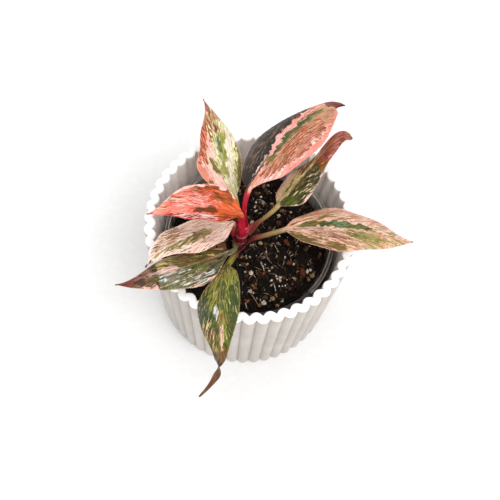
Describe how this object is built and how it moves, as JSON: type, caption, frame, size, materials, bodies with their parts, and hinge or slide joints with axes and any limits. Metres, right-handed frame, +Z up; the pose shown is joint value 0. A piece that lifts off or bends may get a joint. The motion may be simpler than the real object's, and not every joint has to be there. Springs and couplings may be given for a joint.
{
  "type": "potted philodendron",
  "caption": "Young variegated fire phoenix philodendron on a short red stem, growing in a clear nursery pot inside a white fluted cover pot.",
  "frame": {"origin": "middle of the cover pot's flat base", "axes": "+Z up out of the pot, -Y towards the front, where the longest leaf hangs over the rim, +X to the viewer's right"},
  "size_m": [0.1065, 0.1191, 0.0919],
  "materials": {
    "glazed_white": "satin",
    "clear_plastic": "clear",
    "potting_mix": "matte",
    "red_stem": "satin",
    "dried_sheath": "matte",
    "leaf_back_left": "satin",
    "leaf_back_right": "satin",
    "leaf_right_twisted": "satin",
    "leaf_right": "satin",
    "leaf_left_red": "satin",
    "leaf_left_peach": "satin",
    "leaf_front_left": "satin",
    "leaf_front_hanging": "satin"
  },
  "bodies": {
    "root": {"pot": "glazed_white", "nursery_pot": "clear_plastic", "soil": "potting_mix", "stem": "red_stem", "dried_sheath": "dried_sheath", "leaf_back_left": "leaf_back_left", "leaf_back_right": "leaf_back_right", "leaf_right_twisted": "leaf_right_twisted", "leaf_right": "leaf_right", "leaf_left_red": "leaf_left_red", "leaf_left_peach": "leaf_left_peach", "leaf_front_left": "leaf_front_left", "leaf_front_hanging": "leaf_front_hanging"}
  },
  "joints": []
}
